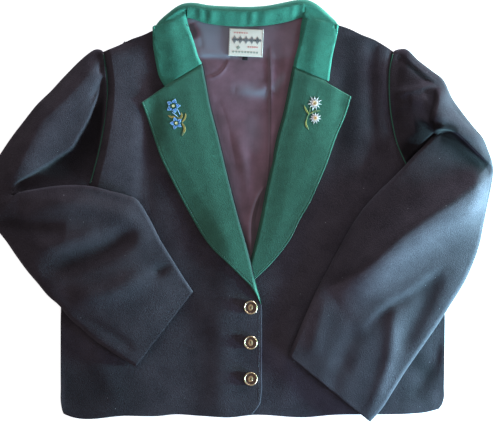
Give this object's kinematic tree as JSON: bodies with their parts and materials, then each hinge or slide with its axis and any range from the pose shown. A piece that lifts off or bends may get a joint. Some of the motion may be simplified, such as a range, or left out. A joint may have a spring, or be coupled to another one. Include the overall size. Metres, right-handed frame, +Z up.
{
  "type": "tyrolean loden jacket",
  "caption": "Cropped women's loden jacket laid flat on its back, sleeves folded over the front, with green wool collar and lapels, armhole piping and antique brass buttons.",
  "frame": {"origin": "middle of the box round the laid jacket, at its flat underside", "axes": "+X across the jacket towards the wearer's left side, +Y up the back towards the collar, +Z up off the surface it lies on"},
  "size_m": [0.7514, 0.6238, 0.0197],
  "materials": {
    "loden": "milled, brushed blue-black wool with lint",
    "green_wool": "fine milled bottle green wool",
    "satin": "mauve brown lining satin with a soft sheen",
    "brass": "antique brass with a darkened ring",
    "woven_tape": "off-white woven tape, blank",
    "black_tape": "black woven tape, blank"
  },
  "bodies": {
    "root": {"back_panel": "loden", "front_right": "loden", "front_left": "loden", "sleeve_right": "loden", "sleeve_left": "loden", "lapel_right": "green_wool", "lapel_left": "green_wool", "collar": "green_wool", "collar_stand": "green_wool", "armhole_piping_right": "green_wool", "armhole_piping_left": "green_wool", "back_lining": "satin", "button_1": "brass", "button_2": "brass", "button_3": "brass", "neck_label": "woven_tape", "size_tab": "black_tape"}
  },
  "joints": []
}
